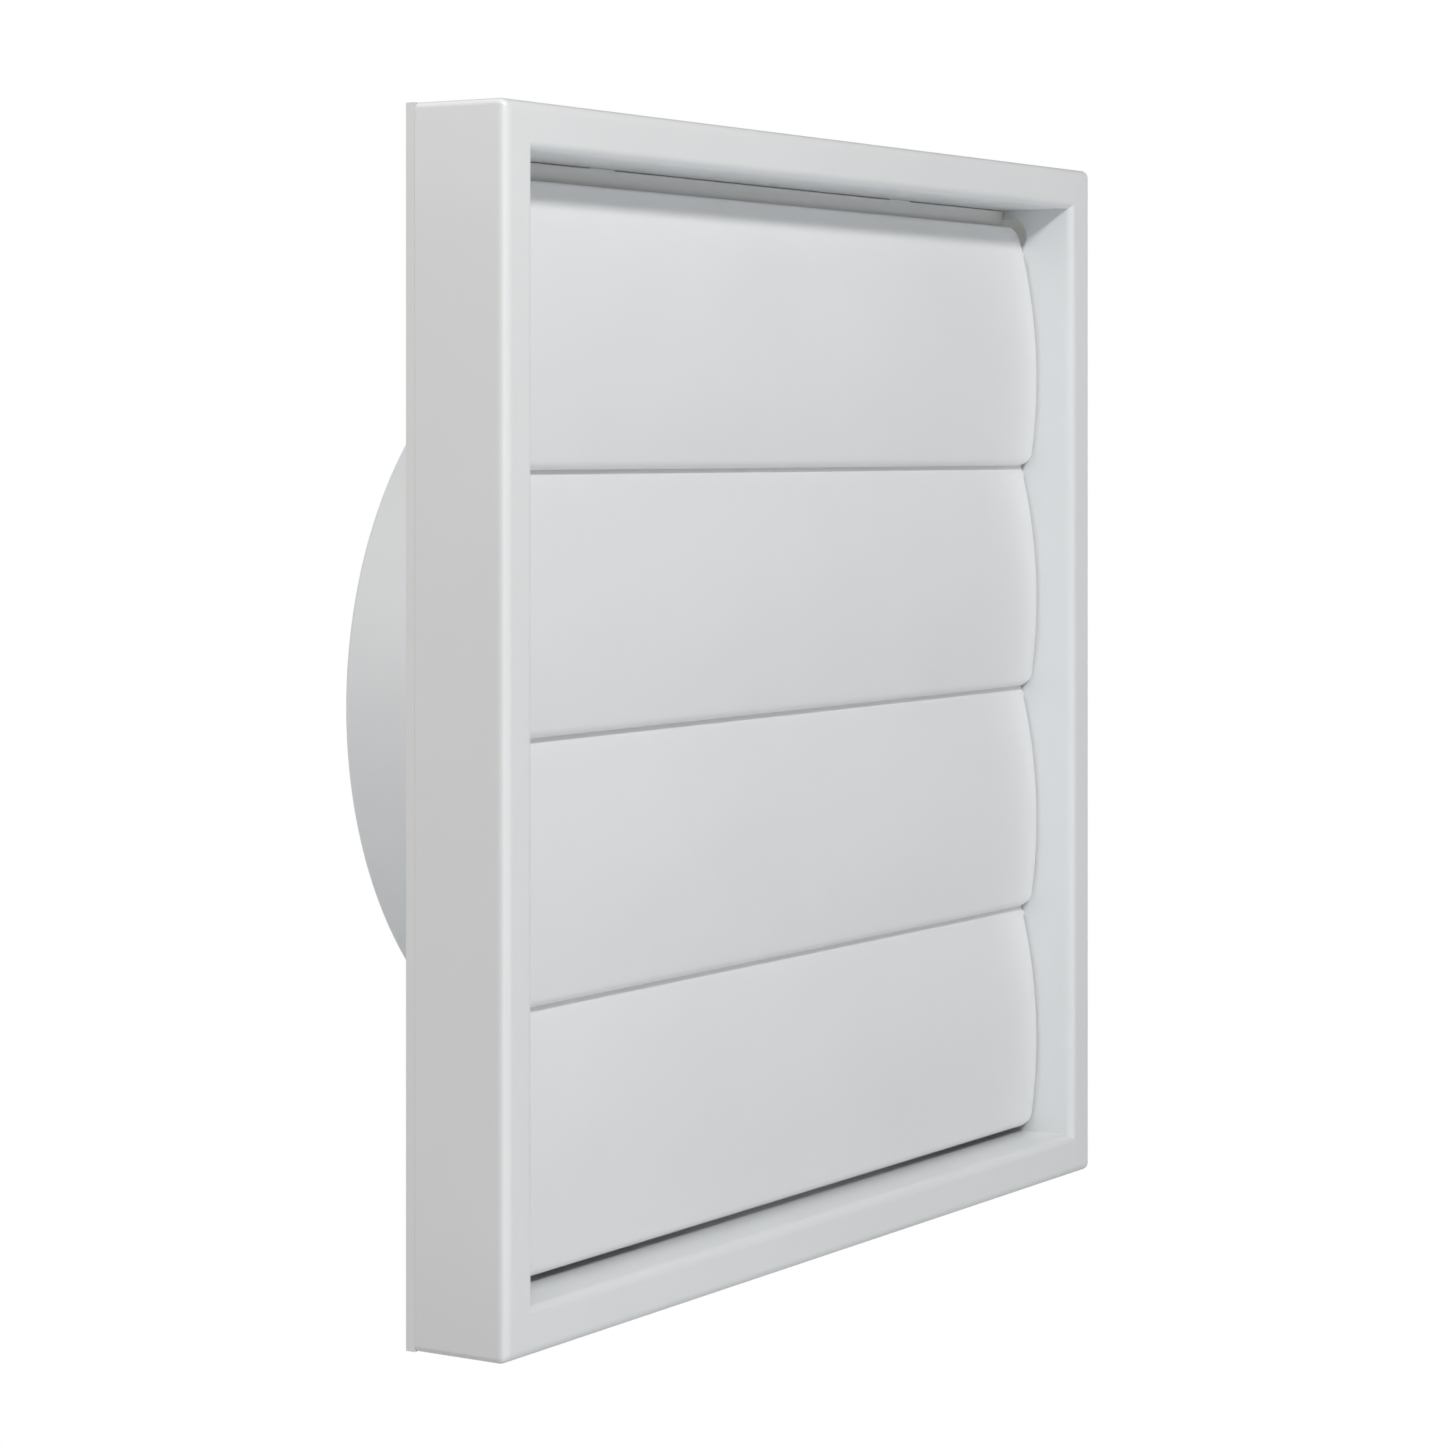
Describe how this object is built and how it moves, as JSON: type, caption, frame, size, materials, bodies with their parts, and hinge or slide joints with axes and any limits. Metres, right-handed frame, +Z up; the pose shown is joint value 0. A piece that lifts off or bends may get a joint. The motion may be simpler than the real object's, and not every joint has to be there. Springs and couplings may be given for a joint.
{
  "type": "gravity flap outlet grille",
  "caption": "Square external outlet grille for an extractor fan duct, with overlapping gravity flaps on pivots and a round rear spigot.",
  "frame": {"origin": "on the spigot axis, in the plane where the back plate rests on the wall", "axes": "+X across the grille to the right as seen from outside, +Y into the wall along the spigot, +Z up"},
  "size_m": [0.214, 0.0603, 0.214],
  "materials": {
    "frame_white": "satin white moulded plastic",
    "plate_white": "satin white moulded plastic",
    "flap_white": "satin white moulded plastic, slightly cooler than the frame"
  },
  "bodies": {
    "housing": {"front_frame": "frame_white", "back_plate": "plate_white"},
    "flap_1": {"flap_1": "flap_white"},
    "flap_2": {"flap_2": "flap_white"},
    "flap_3": {"flap_3": "flap_white"},
    "flap_4": {"flap_4": "flap_white"}
  },
  "joints": [
    {"name": "flap_1_hinge", "type": "hinge", "parent": "housing", "child": "flap_1", "pos_m": [0, -0.00847, 0.0889], "axis": [-1, 0, 0], "range_deg": [0, 80]},
    {"name": "flap_2_hinge", "type": "hinge", "parent": "housing", "child": "flap_2", "pos_m": [0, -0.00847, 0.0419], "axis": [-1, 0, 0], "range_deg": [0, 80]},
    {"name": "flap_3_hinge", "type": "hinge", "parent": "housing", "child": "flap_3", "pos_m": [0, -0.00847, -0.0051], "axis": [-1, 0, 0], "range_deg": [0, 80]},
    {"name": "flap_4_hinge", "type": "hinge", "parent": "housing", "child": "flap_4", "pos_m": [0, -0.00847, -0.0521], "axis": [-1, 0, 0], "range_deg": [0, 80]}
  ]
}
